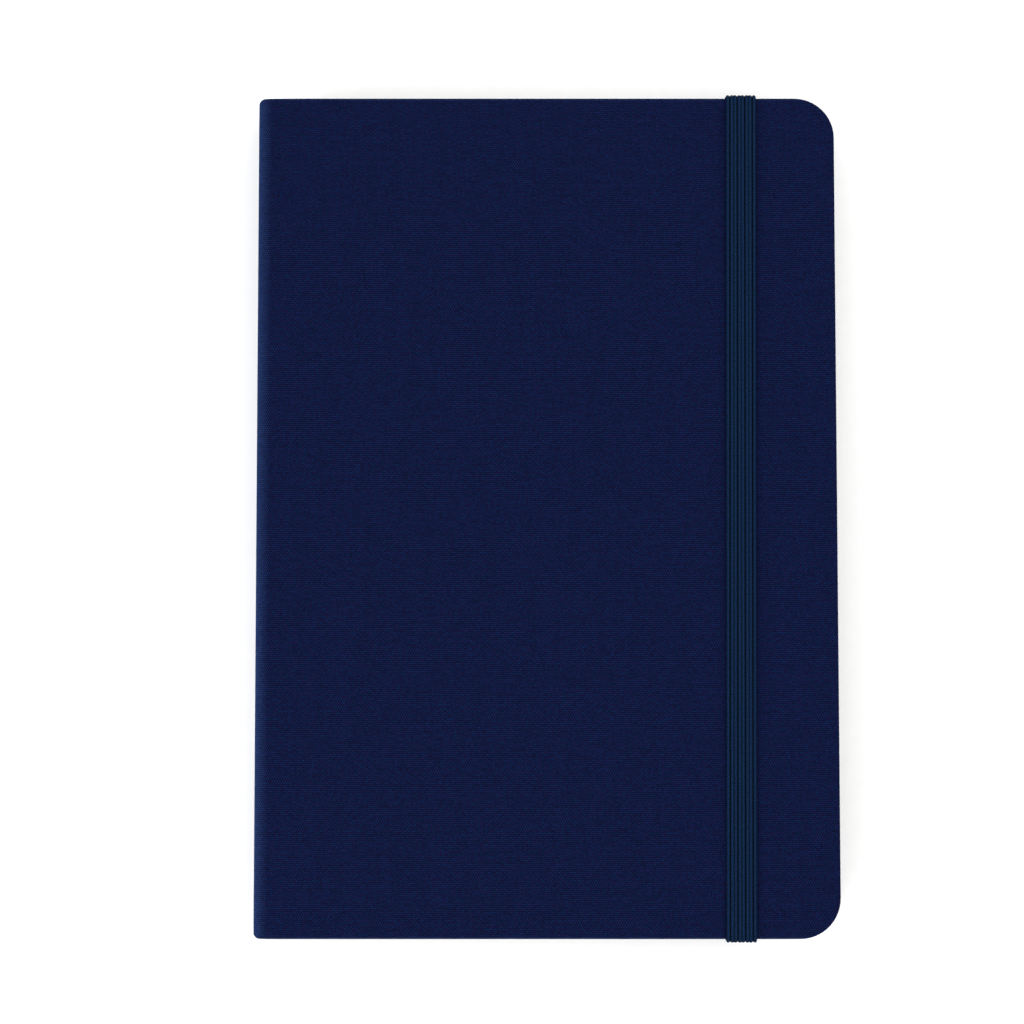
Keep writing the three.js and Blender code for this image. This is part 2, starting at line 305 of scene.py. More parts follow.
def shade_threads(tree, flat, height, chance):
    """How far each spot is from the painted shade of a gap, 0, to the dye's full colour, 1."""
    drawn_out = add_node(tree, "Mapping", {}, {"Vector": flat, "Scale": (0.12, 1, 1)})
    slub = add_node(tree, "TexNoise", {}, {"Vector": drawn_out, "Scale": SLUBS_PER_MM / MM, "Detail": 2})
    upright = add_node(tree, "Mapping", {}, {"Vector": flat, "Scale": (1, 0.05, 1)})
    streak = add_node(tree, "TexNoise", {}, {"Vector": upright, "Scale": STREAKS_PER_MM / MM, "Detail": 2})
    fibre = add_node(tree, "Math", {"operation": "MULTIPLY_ADD"}, {
        0: streak.outputs["Fac"], 1: 0.5, 2: slub.outputs["Fac"]})
    lit = add_node(tree, "MapRange", {}, {
        "Value": fibre, "From Min": 0.45, "From Max": 1.05, "To Min": 0.68, "To Max": 0.96})
    grain = add_node(tree, "TexNoise", {}, {"Vector": flat, "Scale": GRAINS_PER_MM / MM, "Detail": 1})
    patchy = add_node(tree, "Math", {"operation": "MULTIPLY_ADD"}, {
        0: chance, 1: 0.25, 2: grain.outputs["Fac"]})
    uneven = add_node(tree, "MapRange", {}, {
        "Value": patchy, "From Min": 0.35, "From Max": 0.9, "To Min": 0.4, "To Max": 1.6})
    shade = add_node(tree, "Math", {"operation": "MULTIPLY"}, {0: height, 1: lit})
    return add_node(tree, "Math", {"operation": "MULTIPLY"}, {0: shade, 1: uneven})


def dye_threads(tree, flat, shade):
    """The weave's colour: blue here, purple there, with a painted shade, nearly black, in the gaps."""
    bath = add_node(tree, "TexNoise", {}, {"Vector": flat, "Scale": DYE_SPOTS_PER_MM / MM, "Detail": 1})
    hue = add_node(tree, "MapRange", {}, {
        "Value": bath.outputs["Fac"], "From Min": 0.35, "From Max": 0.65, "To Min": 0.0, "To Max": 1.0})
    dyed = add_node(tree, "Mix", {"data_type": "RGBA"}, {
        0: hue, MIX_A: linear(CLOTH_BLUE), MIX_B: linear(CLOTH_PURPLE)})
    # Painted shade darkens the gaps between threads towards near black.
    return add_node(tree, "Mix", {"data_type": "RGBA"}, {
        0: shade, MIX_A: linear(CLOTH_GAP_SHADE), MIX_B: dyed.outputs[MIX_RESULT]})


print("the dye runs from", CLOTH_BLUE, "to", CLOTH_PURPLE)

# %% [markdown]
# ## Painted highlight and lint
# A painted highlight lightens the cloth along the spine's shoulder and the rims at head and tail, most on
# the threads' crests. A few white specks of lint lie on the cloth. Both are found by their place on the
# flat cloth.

# %% Painted highlight, lint and the whole cloth
CLOTH_LINT = "#8A93B5"
# Painted highlight: the paler blue laid on the spine's shoulder and the head and tail rims.
CLOTH_PAINTED_HIGHLIGHT = "#4466A8"
CLOTH_SHEEN = "#5F8FE8"
# Width and strength of the painted highlight at the shoulder and at the rims.
HIGHLIGHT_WIDTH = 5.3 * MM
SHOULDER_HIGHLIGHT = 0.16
RIM_HIGHLIGHT = 0.07
SHOULDER_DROP = 2.0 * MM
LINTS_PER_MM = 0.045
LINT_RADIUS = 0.007


def paint_edge_highlight(tree, split, shade, woven):
    """The weave's colour with a painted highlight at the spine's shoulder and at the head and tail rims."""
    from_shoulder = add_node(tree, "Math", {"operation": "ADD"}, {
        0: split.outputs["X"], 1: SHOULDER_DROP - SPINE_FACE})
    from_shoulder = add_node(tree, "Math", {"operation": "ABSOLUTE"}, {0: from_shoulder})
    at_shoulder = add_node(tree, "MapRange", {}, {
        "Value": from_shoulder,
        "From Min": 0.0, "From Max": HIGHLIGHT_WIDTH, "To Min": SHOULDER_HIGHLIGHT, "To Max": 0.0})
    from_middle = add_node(tree, "Math", {"operation": "ABSOLUTE"}, {0: split.outputs["Y"]})
    at_rim = add_node(tree, "MapRange", {}, {
        "Value": from_middle,
        "From Min": HEAD_EDGE - 2 * RIM, "From Max": HEAD_EDGE, "To Min": 0.0, "To Max": RIM_HIGHLIGHT})
    highlight = add_node(tree, "Math", {"operation": "MAXIMUM"}, {0: at_shoulder, 1: at_rim})
    # The painted highlight is strongest on the threads' crests.
    crests = add_node(tree, "Math", {"operation": "MULTIPLY_ADD"}, {0: shade, 1: 1.8, 2: 0.3})
    highlight = add_node(tree, "Math", {"operation": "MULTIPLY"}, {0: highlight, 1: crests})
    return add_node(tree, "Mix", {"data_type": "RGBA"}, {
        0: highlight, MIX_A: woven.outputs[MIX_RESULT], MIX_B: linear(CLOTH_PAINTED_HIGHLIGHT)})


def make_book_cloth():
    """Linen book cloth, woven and dyed navy: dull and deep, in fine rows with painted shade in the gaps."""
    material, tree, shader = start_material("navy linen book cloth", roughness=0.85, specular=0.02)
    flat = add_node(tree, "UVMap", {"uv_map": MAP_NAME}, {})
    split = add_node(tree, "SeparateXYZ", {}, {"Vector": flat})
    height, chance = weave_threads(tree, flat, split)
    shade = shade_threads(tree, flat, height, chance)
    # Adds the painted highlight at the spine's shoulder and the rims.
    highlighted = paint_edge_highlight(tree, split, shade, dye_threads(tree, flat, shade))
    specks = add_node(tree, "TexVoronoi", {}, {"Vector": flat, "Scale": LINTS_PER_MM / MM})
    speck = add_node(tree, "Math", {"operation": "LESS_THAN"}, {
        0: specks.outputs["Distance"], 1: LINT_RADIUS})
    linted = add_node(tree, "Mix", {"data_type": "RGBA"}, {
        0: speck, MIX_A: highlighted.outputs[MIX_RESULT], MIX_B: linear(CLOTH_LINT)})
    tree.links.new(linted.outputs[MIX_RESULT], shader.inputs["Base Color"])
    bump = add_node(tree, "Bump", {}, {"Strength": 0.5, "Distance": 0.08 * MM, "Height": height})
    tree.links.new(bump.outputs["Normal"], shader.inputs["Normal"])
    shader.inputs["Sheen Weight"].default_value = 0.3
    shader.inputs["Sheen Roughness"].default_value = 0.2
    shader.inputs["Sheen Tint"].default_value = linear(CLOTH_SHEEN)
    return material


BOOK_CLOTH = make_book_cloth()
print("book cloth:", len(BOOK_CLOTH.node_tree.nodes), "nodes")

# %% [markdown]
# ## Paper
# Uncoated writing paper is soft and matt, and its cut edges show as fine stripes because every leaf catches
# the light a little differently. A logbook's pages are printed with an empty table: rows 7 mm apart, wider
# columns and a tinted strip for the headings. Where a line falls is worked out on the page's flat map.

# %% Paper
ROW_PITCH = 7 * MM
ROW_LINE = 0.16 * MM
COLUMN_PITCH = 17.5 * MM
COLUMN_LINE = 0.3 * MM
TABLE_HALF_WIDTH = 3 * COLUMN_PITCH + COLUMN_LINE
TABLE_HALF_HEIGHT = 13 * ROW_PITCH + ROW_LINE
HEADING_TINT = "#A9B9BE"
LINE_INK = "#5F7791"
STRIPES_PER_MM = 0.09
STRIPE_STRETCH = (0.02, 0.02, 60)
MOTTLES_PER_MM = 0.4


def make_paper(name, light, dark, ruled):
    """Uncoated paper: matt, faintly mottled, with stripes where the leaves' cut edges lie side by side."""
    material, tree, shader = start_material(name, roughness=0.9, specular=0.25)
    place = add_node(tree, "TexCoord", {}, {}).outputs["Object"]
    level = add_node(tree, "Mapping", {}, {"Vector": place, "Scale": STRIPE_STRETCH})
    stripe = add_node(tree, "TexNoise", {}, {"Vector": level, "Scale": STRIPES_PER_MM / MM, "Detail": 2})
    mottle = add_node(tree, "TexNoise", {}, {"Vector": place, "Scale": MOTTLES_PER_MM / MM, "Detail": 3})
    shade = add_node(tree, "Math", {"operation": "MULTIPLY_ADD"}, {
        0: mottle.outputs["Fac"], 1: 0.25, 2: stripe.outputs["Fac"]})
    tone = add_node(tree, "MapRange", {}, {
        "Value": shade, "From Min": 0.35, "From Max": 0.95, "To Min": 0.0, "To Max": 1.0})
    colour = add_node(tree, "Mix", {"data_type": "RGBA"}, {
        0: tone, MIX_A: linear(dark), MIX_B: linear(light)})
    if ruled:
        colour = rule_page(tree, colour)
    tree.links.new(colour.outputs[MIX_RESULT], shader.inputs["Base Color"])
    bump = add_node(tree, "Bump", {}, {"Strength": 0.25, "Distance": 0.02 * MM, "Height": shade})
    tree.links.new(bump.outputs["Normal"], shader.inputs["Normal"])
    return material


def is_near_line(tree, size, pitch, width):
    """1 where a distance from the middle falls on one of the evenly spaced lines, otherwise 0."""
    wrap = add_node(tree, "Math", {"operation": "PINGPONG"}, {0: size, 1: pitch / 2})
    return add_node(tree, "Math", {"operation": "LESS_THAN"}, {0: wrap, 1: width / 2})


def rule_page(tree, paper):
    """Prints a log's empty table: rows, columns and a tinted strip for the headings."""
    flat = add_node(tree, "UVMap", {"uv_map": MAP_NAME}, {})
    split = add_node(tree, "SeparateXYZ", {}, {"Vector": flat})
    across = add_node(tree, "Math", {"operation": "ABSOLUTE"}, {0: split.outputs["X"]})
    along = add_node(tree, "Math", {"operation": "ABSOLUTE"}, {0: split.outputs["Y"]})
    in_width = add_node(tree, "Math", {"operation": "LESS_THAN"}, {0: across, 1: TABLE_HALF_WIDTH})
    in_height = add_node(tree, "Math", {"operation": "LESS_THAN"}, {0: along, 1: TABLE_HALF_HEIGHT})
    in_table = add_node(tree, "Math", {"operation": "MULTIPLY"}, {0: in_width, 1: in_height})
    rows = is_near_line(tree, along, ROW_PITCH, ROW_LINE)
    columns = is_near_line(tree, across, COLUMN_PITCH, COLUMN_LINE)
    heading = add_node(tree, "Math", {"operation": "GREATER_THAN"}, {
        0: split.outputs["Y"], 1: TABLE_HALF_HEIGHT - 2 * ROW_PITCH})
    heading = add_node(tree, "Math", {"operation": "MULTIPLY"}, {0: heading, 1: in_table})
    open_rows = add_node(tree, "Math", {"operation": "SUBTRACT"}, {0: rows, 1: heading})
    lines = add_node(tree, "Math", {"operation": "MAXIMUM"}, {0: open_rows, 1: columns})
    lines = add_node(tree, "Math", {"operation": "MULTIPLY"}, {0: lines, 1: in_table})
    tinted = add_node(tree, "Mix", {"data_type": "RGBA"}, {
        0: heading, MIX_A: paper.outputs[MIX_RESULT], MIX_B: linear(HEADING_TINT)})
    return add_node(tree, "Mix", {"data_type": "RGBA"}, {
        0: lines, MIX_A: tinted.outputs[MIX_RESULT], MIX_B: linear(LINE_INK)})


WRITING_PAPER = make_paper("ivory writing paper", light="#DCD5C2", dark="#CBC3AE", ruled=True)
ENDPAPER = make_paper("ivory endpaper", light="#DAD3BF", dark="#CAC2AD", ruled=False)
print("writing paper:", len(WRITING_PAPER.node_tree.nodes), "nodes")

# %% [markdown]
# ## Board, gauze, kraft and thread
# Binder's greyboard is pressed waste paper with dark flecks, which noise gives. Gauze, laid kraft, twisted
# thread and wound cotton all show as stripes, so one function makes them, each at its own spacing. The
# gauze and the kraft are drawn coarser than real ones, so that their stripes show at all.

# %% Boards and striped goods
BOARD_FLECK = "#6E6B64"
BOARD_PULP = "#A8A59C"
FLECKS_PER_MM = 1.5
WAVE_PERIOD = 0.628


def make_greyboard():
    """Binder's greyboard: pressed waste paper, grey and fibrous, with dark flecks."""
    material, tree, shader = start_material("binder's greyboard", roughness=0.95, specular=0.2)
    place = add_node(tree, "TexCoord", {}, {}).outputs["Object"]
    noise = add_node(tree, "TexNoise", {}, {"Vector": place, "Scale": FLECKS_PER_MM / MM, "Detail": 4})
    flecks = noise.outputs["Fac"]
    colour = add_node(tree, "Mix", {"data_type": "RGBA"}, {
        0: flecks, MIX_A: linear(BOARD_FLECK), MIX_B: linear(BOARD_PULP)})
    tree.links.new(colour.outputs[MIX_RESULT], shader.inputs["Base Color"])
    bump = add_node(tree, "Bump", {}, {"Strength": 0.3, "Distance": 0.05 * MM, "Height": flecks})
    tree.links.new(bump.outputs["Normal"], shader.inputs["Normal"])
    return material


def make_stripes(name, pitch, axes, light, dark, roughness):
    """Thread, cotton, kraft or gauze, with a light and a dark stripe to each pitch along its axes."""
    material, tree, shader = start_material(name, roughness, specular=0.2)
    place = add_node(tree, "TexCoord", {}, {}).outputs["Object"]
    along = add_node(tree, "Mapping", {}, {"Vector": place, "Scale": axes})
    wave = add_node(tree, "TexWave", {"bands_direction": "DIAGONAL"}, {
        "Vector": along, "Scale": WAVE_PERIOD / pitch, "Distortion": 0.6, "Detail": 1})
    stripes = wave.outputs["Fac"]
    colour = add_node(tree, "Mix", {"data_type": "RGBA"}, {
        0: stripes, MIX_A: linear(dark), MIX_B: linear(light)})
    tree.links.new(colour.outputs[MIX_RESULT], shader.inputs["Base Color"])
    bump = add_node(tree, "Bump", {}, {"Strength": 0.5, "Distance": 0.05 * MM, "Height": stripes})
    tree.links.new(bump.outputs["Normal"], shader.inputs["Normal"])
    return material


GREYBOARD = make_greyboard()
LINEN_THREAD = make_stripes("waxed linen thread", 0.6 * MM, (1, 1, 1), "#ECE6D6", "#B9AF98", 0.6)
MULL = make_stripes("cotton mull", 1.6 * MM, (0, 1, 1), "#E3DCC9", "#B8AD92", 0.95)
KRAFT = make_stripes("kraft lining paper", 3 * MM, (0, 1, 0.1), "#B99668", "#A4804F", 0.85)
HEADBAND_COTTON = make_stripes("headband cotton", 1.8 * MM, (0, 0, 1), "#C9CCD6", "#1B2750", 0.75)
print("striped goods:", ", ".join(m.name for m in (LINEN_THREAD, MULL, KRAFT, HEADBAND_COTTON)))

# %% [markdown]
# ## Braided elastic
# The band is narrow braided elastic: rubber cores covered in dyed yarn. Its eight ribs are modelled, and
# the material adds the yarn, which leans across each rib in fine stitches, and darkens the grooves, where
# light hardly reaches. It reads a map that goes across the band first and along it second.

# %% Elastic
STITCH_PITCH = 0.55 * MM
ELASTIC_YARN = "#0B2443"
ELASTIC_SHADE = "#01050E"
STITCH_LEAN = 3.5
FUZZ_PER_MM = 2.6
RIB_COUNT = 8
run_low, run_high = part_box("elastic_front_run")
RIB_PITCH = (run_high.x - run_low.x) / RIB_COUNT


def make_elastic():
    """Braided elastic, covered in dyed polyester yarn: slightly silky, with fine stitches on each rib."""
    material, tree, shader = start_material("dark navy braided elastic", roughness=0.65, specular=0.03)
    flat = add_node(tree, "UVMap", {"uv_map": MAP_NAME}, {})
    split = add_node(tree, "SeparateXYZ", {}, {"Vector": flat})
    ribs = add_node(tree, "Math", {"operation": "MULTIPLY"}, {0: split.outputs["X"], 1: 1 / RIB_PITCH})
    to_shallow = add_node(tree, "Math", {"operation": "PINGPONG"}, {0: ribs, 1: 1.0})
    to_deep = add_node(tree, "Math", {"operation": "SUBTRACT"}, {0: 1.0, 1: to_shallow})
    shallow = add_node(tree, "MapRange", {"interpolation_type": "SMOOTHSTEP"}, {
        "Value": to_shallow, "From Min": 0.0, "From Max": 0.45, "To Min": 0.2, "To Max": 1.0})
    deep = add_node(tree, "MapRange", {"interpolation_type": "SMOOTHSTEP"}, {
        "Value": to_deep, "From Min": 0.03, "From Max": 0.45, "To Min": 0.0, "To Max": 1.0})
    open_rib = add_node(tree, "Math", {"operation": "MULTIPLY"}, {0: shallow, 1: deep})
    turn = add_node(tree, "Math", {"operation": "MULTIPLY"}, {
        0: split.outputs["Y"], 1: 2 * math.pi / STITCH_PITCH})
    lean = add_node(tree, "Math", {"operation": "MULTIPLY_ADD"}, {
        0: to_shallow, 1: STITCH_LEAN, 2: turn})
    stitch = add_node(tree, "Math", {"operation": "SINE"}, {0: lean})
    fuzz = add_node(tree, "TexNoise", {}, {"Vector": flat, "Scale": FUZZ_PER_MM / MM, "Detail": 2})
    yarn = add_node(tree, "Math", {"operation": "MULTIPLY_ADD"}, {
        0: stitch, 1: 0.2, 2: fuzz.outputs["Fac"]})
    bright = add_node(tree, "MapRange", {}, {
        "Value": yarn, "From Min": 0.2, "From Max": 0.8, "To Min": 0.1, "To Max": 1.6})
    tone = add_node(tree, "Math", {"operation": "MULTIPLY"}, {0: bright, 1: open_rib})
    colour = add_node(tree, "Mix", {"data_type": "RGBA"}, {
        0: tone, MIX_A: linear(ELASTIC_SHADE), MIX_B: linear(ELASTIC_YARN)})
    tree.links.new(colour.outputs[MIX_RESULT], shader.inputs["Base Color"])
    bump = add_node(tree, "Bump", {}, {"Strength": 0.5, "Distance": 0.06 * MM, "Height": yarn})
    tree.links.new(bump.outputs["Normal"], shader.inputs["Normal"])
    shader.inputs["Sheen Weight"].default_value = 0.012
    shader.inputs["Sheen Roughness"].default_value = 0.4
    return material


ELASTIC = make_elastic()
print("elastic: ribs", round(RIB_PITCH / MM, 2), "mm apart,", len(ELASTIC.node_tree.nodes), "nodes")

# %% [markdown]
# ## The case's cloth
# A binder glues the boards on a flat piece of cloth and folds its edges in. Here each half starts as a thin
# box over one cover. The strip at the spine is extruded down to the middle of the spine, corners are
# rounded, and everything that isn't cloth is cut away, so 15 mm turn-ins are left on the inside. Solidify
# then gives the sheet its thickness. There are two halves, one over each cover, meeting mid-spine.

# %% A cover's outer box with half the spine
SPINE_CORNER_RADIUS = 1.5 * MM


def at_depth(cover, depth):
    """The height of a depth below a cover's outer face."""
    return BOOK_TOP - depth if cover == "front" else depth


def start_case_half(cover):
    """An L-shaped block: one cover, and the spine down to its middle line."""
    outer = at_depth(cover, 0)
    inner = at_depth(cover, COVER_THICKNESS)
    piece = start_box(
        f"{cover}_case_cloth",
        (SPINE_FACE, -HEAD_EDGE, min(outer, inner)),
        (FORE_EDGE, HEAD_EDGE, max(outer, inner)),
    )
    pick("FACE", lambda f: abs(f.calc_center_median().z - inner) < NEAR)
    bpy.ops.mesh.bisect(plane_co=(SPINE_INNER_X, 0, 0), plane_no=(1, 0, 0))
    pick("FACE", lambda f: abs(f.normal.z) > 0.9 and f.calc_center_median().x < SPINE_INNER_X)
    bpy.ops.mesh.extrude_region_move(TRANSFORM_OT_translate={"value": (0, 0, BOOK_TOP / 2 - inner)})
    pick("EDGE", lambda e: edge_is(e, 2, lambda m: m.x > FORE_EDGE - NEAR))
    bpy.ops.mesh.bevel(offset=CORNER_RADIUS, segments=16, affect="EDGES", profile=0.5)
    pick("EDGE", lambda e: edge_is(e, 2, lambda m: m.x < SPINE_FACE + NEAR))
    bpy.ops.mesh.bevel(offset=SPINE_CORNER_RADIUS, segments=5, affect="EDGES", profile=0.5)
    return piece


print("corner radius", round(CORNER_RADIUS / MM, 1), "and", round(SPINE_CORNER_RADIUS / MM, 1), "mm")

# %% [markdown]
# ## The shoulder of the spine
# Over the joint there is no board, so the cloth falls away in a soft curve. The top is cut into narrow
# strips, and each row of vertices is lowered on a quarter ellipse. The rim then gets the small radius that
# cloth takes round a board's edge.

# %% Shoulder and rims
SHOULDER_STRIPS = 14


def drop_shoulder(cover):
    """Lowers the outer face towards the spine on a quarter ellipse."""
    outer = at_depth(cover, 0)
    width = BOARD_EDGE_X - SPINE_FACE
    for strip in range(SHOULDER_STRIPS):
        angle = math.pi / 2 * strip / SHOULDER_STRIPS
        pick("FACE", lambda f: abs(f.calc_center_median().z - outer) < NEAR)
        x = BOARD_EDGE_X - width * math.sin(angle)
        bpy.ops.mesh.bisect(plane_co=(x, 0, 0), plane_no=(1, 0, 0))
    mesh = bmesh.from_edit_mesh(bpy.context.object.data)
    lowered = [v for v in mesh.verts if v.co.x < BOARD_EDGE_X and abs(v.co.z - outer) < NEAR]
    for x in sorted({round(v.co.x, 6) for v in lowered}):
        reach = min(1.0, (BOARD_EDGE_X - x) / width)
        drop = SHOULDER_DROP * (1 - math.sqrt(1 - reach ** 2))
        pick("VERT", lambda v: abs(v.co.x - x) < 2e-6 and abs(v.co.z - outer) < NEAR / 10)
        bpy.ops.transform.translate(value=(0, 0, at_depth(cover, drop) - outer))


def round_rims():
    """Rounds every folded edge of the cloth, and leaves the two halves' meeting line sharp."""
    middle = BOOK_TOP / 2

    def is_rim(edge):
        if any(abs(v.co.z - middle) < NEAR for v in edge.verts) and edge_is(edge, 1, lambda m: True):
            return False
        if all(abs(v.co.z - middle) < NEAR for v in edge.verts):
            return False
        return edge.is_convex and edge.calc_face_angle(0) > math.radians(50)

    pick("EDGE", is_rim)
    bpy.ops.mesh.bevel(offset=RIM, segments=4, affect="EDGES", profile=0.5)


print("the shoulder falls", round(SHOULDER_DROP / MM, 2), "mm in", SHOULDER_STRIPS, "strips")

# %% [markdown]
# ## Turn-ins
# The box's inside is still closed. Three cuts mark where the turn-ins end, and the faces between them are
# deleted, with the ones where the two halves of the spine meet. What is left is a sheet, which Solidify
# thickens inwards.

# %% Turn-ins
def cut_turn_ins(cover):
    """Cuts the inner faces back to the turn-ins and opens the meeting line."""
    inner = at_depth(cover, COVER_THICKNESS)
    end = HEAD_EDGE - TURN_IN
    fore = FORE_EDGE - TURN_IN

    def is_inside(face):
        middle = face.calc_center_median()
        flat = abs(middle.z - inner) < NEAR and abs(face.normal.z) > 0.99
        return flat or (abs(middle.x - SPINE_INNER_X) < NEAR and abs(face.normal.x) > 0.99)

    for point, normal in (((0, end, 0), (0, 1, 0)), ((0, -end, 0), (0, 1, 0)), ((fore, 0, 0), (1, 0, 0))):
        pick("FACE", is_inside)
        bpy.ops.mesh.bisect(plane_co=point, plane_no=normal)
    pick("FACE", lambda f: is_inside(f) and abs(f.calc_center_median().y) < end
         and f.calc_center_median().x < fore)
    bpy.ops.mesh.delete(type="FACE")
    pick("FACE", lambda f: abs(f.calc_center_median().z - BOOK_TOP / 2) < NEAR)
    bpy.ops.mesh.delete(type="FACE")


def make_case_half(cover):
    """The whole cloth over one cover, its joint and half the spine."""
    piece = start_case_half(cover)
    bpy.ops.mesh.select_all(action="SELECT")
    bpy.ops.mesh.normals_make_consistent(inside=False)
    drop_shoulder(cover)
    round_rims()
    cut_turn_ins(cover)
    if cover == "back":
        cut_elastic_slots()
    close_piece(piece, 30)
    apply_modifier(piece, "SOLIDIFY", thickness=CLOTH, offset=-1, use_even_offset=True)
    flatten_shading(piece)
    return piece


print("turn-ins", round(TURN_IN / MM), "mm wide")

# %% [markdown]
# ## Slots for the elastic
# The band's ends go in under the back endpaper. Each passes through the cloth at the cover's edge, so the
# wall and turn-in there are cut to the band's width.

# %% Slots in the back cloth
SLOT_ROOM = 0.05 * MM
end_low, end_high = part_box("elastic_head_end")


def cut_elastic_slots():
    """Takes out the cloth where the band's two glued ends go in."""

    def is_near(face):
        middle = face.calc_center_median()
        return abs(middle.y) > HEAD_EDGE - TURN_IN and middle.z > NEAR and middle.x > 0 and (
            face.normal.x < 0.1)

    cuts = (
        ((end_low.x - SLOT_ROOM, 0, 0), (1, 0, 0)),
        ((end_high.x + SLOT_ROOM, 0, 0), (1, 0, 0)),
        ((0, 0, end_low.z - SLOT_ROOM), (0, 0, 1)),
    )
    for point, normal in cuts:
        pick("FACE", is_near)
        bpy.ops.mesh.bisect(plane_co=point, plane_no=normal)
    reach = SLOT_ROOM + NEAR
    pick("FACE", lambda f: end_low.x - reach < f.calc_center_median().x < end_high.x + reach
         and f.calc_center_median().z > end_low.z - SLOT_ROOM)
    bpy.ops.mesh.delete(type="FACE")


print("slots", round((end_high.x - end_low.x + 2 * SLOT_ROOM) / MM, 2), "mm wide")

# %% [markdown]
# ## Both halves of the case
# Each half is made, gets its flat map and the book cloth, and has its place baked into its mesh.

# %% Cloth on both covers
def dress(piece, material):
    """Gives a finished piece its material."""
    piece.data.materials.clear()
    piece.data.materials.append(material)


def unfold_cloth(cover):
    """The flat place of each point of a cover's cloth: over an edge, the way down the wall is added."""
    sign = 1 if cover == "front" else -1

    def unfold(point, face):
        depth = (at_depth(cover, 0) - point.z) * sign
        if abs(face.normal.y) > max(abs(face.normal.x), abs(face.normal.z)):
            return point.x, point.y + math.copysign(depth, face.normal.y)
        if point.x < BOARD_EDGE_X:
            return point.x - depth, point.y
        if abs(face.normal.x) > abs(face.normal.z):
            return point.x + math.copysign(depth, face.normal.x), point.y
        return point.x, point.y

    return unfold


front_cloth = make_case_half("front")
back_cloth = make_case_half("back")
for cover, piece in (("front", front_cloth), ("back", back_cloth)):
    lay_flat_map(piece, unfold_cloth(cover))
    dress(piece, BOOK_CLOTH)
    start = (SPINE_FACE + 0.2 * MM, 0, at_depth(cover, 3.5 * MM))
    end = (BOARD_EDGE_X - 0.5 * MM, 0, at_depth(cover, 0.2 * MM))
    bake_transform(piece)
    print(piece.name, len(piece.data.polygons), "faces")
flat_width = BOOK_TOP / 2 + (FORE_EDGE - SPINE_FACE) + COVER_THICKNESS + TURN_IN
flat_length = 2 * (HEAD_EDGE + COVER_THICKNESS + TURN_IN)
for piece, board in ((front_cloth, "front_board"), (back_cloth, "back_board")):
    print(piece.name, "was cut from", round(flat_width / MM, 1), "x", round(flat_length / MM, 1), "mm")
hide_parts("front_cloth", "front_joint_cloth", "spine_cloth")
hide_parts("back_cloth", "back_joint_cloth", "spine_cloth")

# %% [markdown]
# ## The spine board
# The narrow board in the spine shows nowhere, but the cloth is drawn round its ends, so its outer corners
# are sanded off to leave the cloth its soft corner.

# %% Spine board
BOARD_END_CORNER = 1.15 * MM
BOARD_LONG_CORNER = 0.9 * MM
spine_board_low, spine_board_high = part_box("spine_board")
spine_board = start_box("spine_greyboard", spine_board_low, spine_board_high)
pick("EDGE", lambda e: edge_is(e, 2, lambda m: m.x < spine_board_low.x + NEAR))
bpy.ops.mesh.bevel(offset=BOARD_END_CORNER, segments=5, affect="EDGES", profile=0.5)
pick("EDGE", lambda e: edge_is(e, 1, lambda m: m.x < spine_board_low.x + NEAR))
bpy.ops.mesh.bevel(offset=BOARD_LONG_CORNER, segments=4, affect="EDGES", profile=0.5)
close_piece(spine_board)
dress(spine_board, GREYBOARD)
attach(spine_board, "spine")
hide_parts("spine_board")
print("spine board", [round(v / MM, 2) for v in spine_board.dimensions], "mm")

# %% [markdown]
# ## The elastic band
# Braided elastic has rubber cores side by side, which show as ribs: here eight, with deeper grooves after
# the first, third, fifth and seventh. A bar of the band's run is cut lengthwise at every quarter rib, and
# its vertices are pushed in to form the grooves.

# %% Ribs of the band
RIB_QUARTERS = (1.0, 0.22, 0.0, 0.22)
QUARTERS = len(RIB_QUARTERS)
DEEP_GROOVE = 0.30 * MM
SHALLOW_GROOVE = 0.13 * MM
BAND_THICKNESS = 0.82 * MM
TOP_BEND = 1.3 * MM
END_BEND = 1.2 * MM
BAND_SKEW = 0.55 * MM
BAND_REACH = HEAD_EDGE + 0.86 * MM


def groove_depth(quarter):
    """How far a lengthwise row lies below the ribs' crests."""
    rib, part = divmod(quarter, QUARTERS)
    if part == QUARTERS - 1:
        rib += 1
    deep = rib % 2 == 1 or rib in (0, RIB_COUNT)
    return RIB_QUARTERS[part] * (DEEP_GROOVE if deep else SHALLOW_GROOVE)


def make_run():
    """The straight run over the front cover, ribbed on both faces."""
    low = (run_low.x, -(BAND_REACH - TOP_BEND), run_high.z - BAND_THICKNESS)
    high = (run_high.x, BAND_REACH - TOP_BEND, run_high.z)
    piece = start_box("elastic_band_weave", low, high)
    pitch = RIB_PITCH / QUARTERS
    for quarter in range(1, RIB_COUNT * QUARTERS):
        bpy.ops.mesh.select_all(action="SELECT")
        bpy.ops.mesh.bisect(plane_co=(run_low.x + quarter * pitch, 0, 0), plane_no=(1, 0, 0))
    for quarter in range(RIB_COUNT * QUARTERS + 1):
        x = run_low.x + quarter * pitch
        depth = groove_depth(quarter)
        for face, push in ((high[2], -depth), (low[2], depth)):
            pick("VERT", lambda v: abs(v.co.x - x) < 1e-6 and abs(v.co.z - face) < 1e-5)
            bpy.ops.transform.translate(value=(0, 0, push))
    return piece


print(RIB_COUNT, "ribs, grooves", DEEP_GROOVE / MM, "and", SHALLOW_GROOVE / MM, "mm deep")

# %% [markdown]
# ## The band's wraps and ends
# At head and tail the band turns down over the edge, runs straight and turns in under the endpaper. The end
# face is extruded in small steps: a quarter turn, a straight, another quarter turn and the glued length.
# The run lies slightly askew, so each wrap slants back to its slot.

# %% Wraps and ends
BEND_STEPS = 6
WRAP_STEPS = 10
END_SINK = 0.03 * MM
# With no window, rotate turns the other way, so its angles change sign.
RIGHT_TURN = -1


